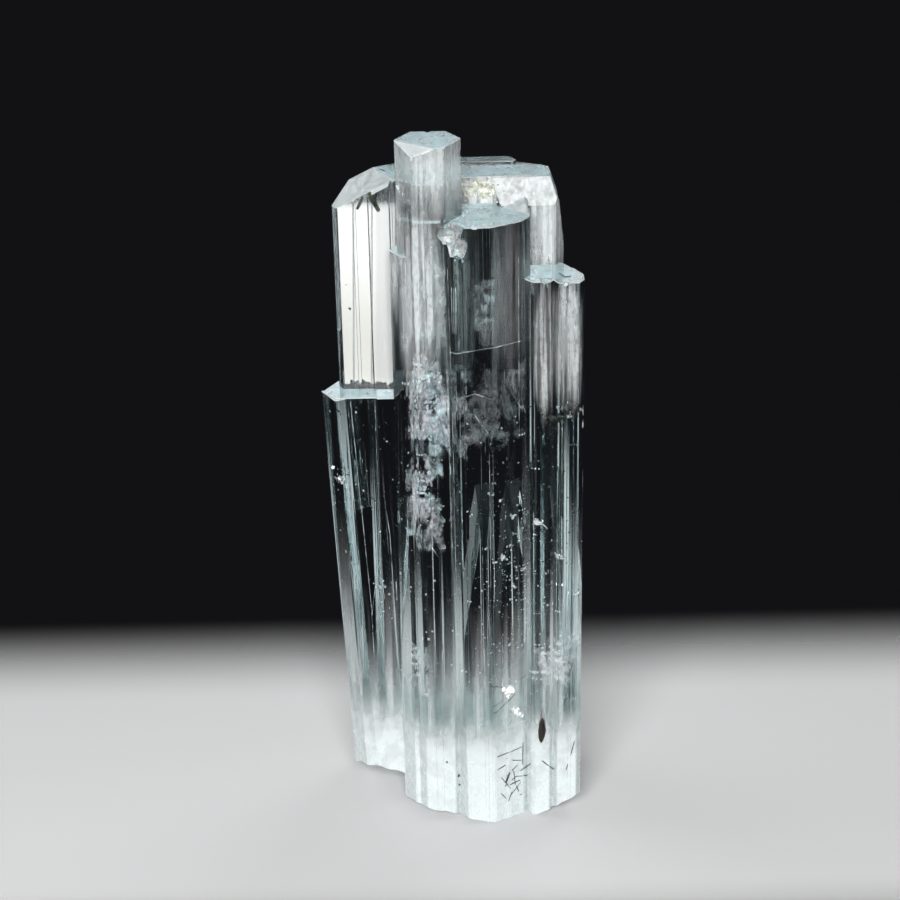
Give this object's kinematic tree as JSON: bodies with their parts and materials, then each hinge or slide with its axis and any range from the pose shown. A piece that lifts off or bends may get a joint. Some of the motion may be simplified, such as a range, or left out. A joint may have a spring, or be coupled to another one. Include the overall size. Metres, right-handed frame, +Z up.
{
  "type": "aquamarine crystal",
  "caption": "Clear pale aquamarine: hexagonal beryl prisms grown side by side to different heights, broken off flat at a milky base, standing upright.",
  "frame": {"origin": "centre of the bounding box in plan, on the surface that the broken base rests on", "axes": "+Z up along the crystals, -Y towards the front with the slim free-standing crystal, +X to the right seen from the front"},
  "size_m": [0.0234, 0.0142, 0.0672],
  "materials": {
    "aquamarine": "clear, almost colourless beryl with a pale aqua tint, milky white at the broken base, glassy prism faces"
  },
  "bodies": {
    "root": {"aquamarine_crystal": "aquamarine"}
  },
  "joints": []
}
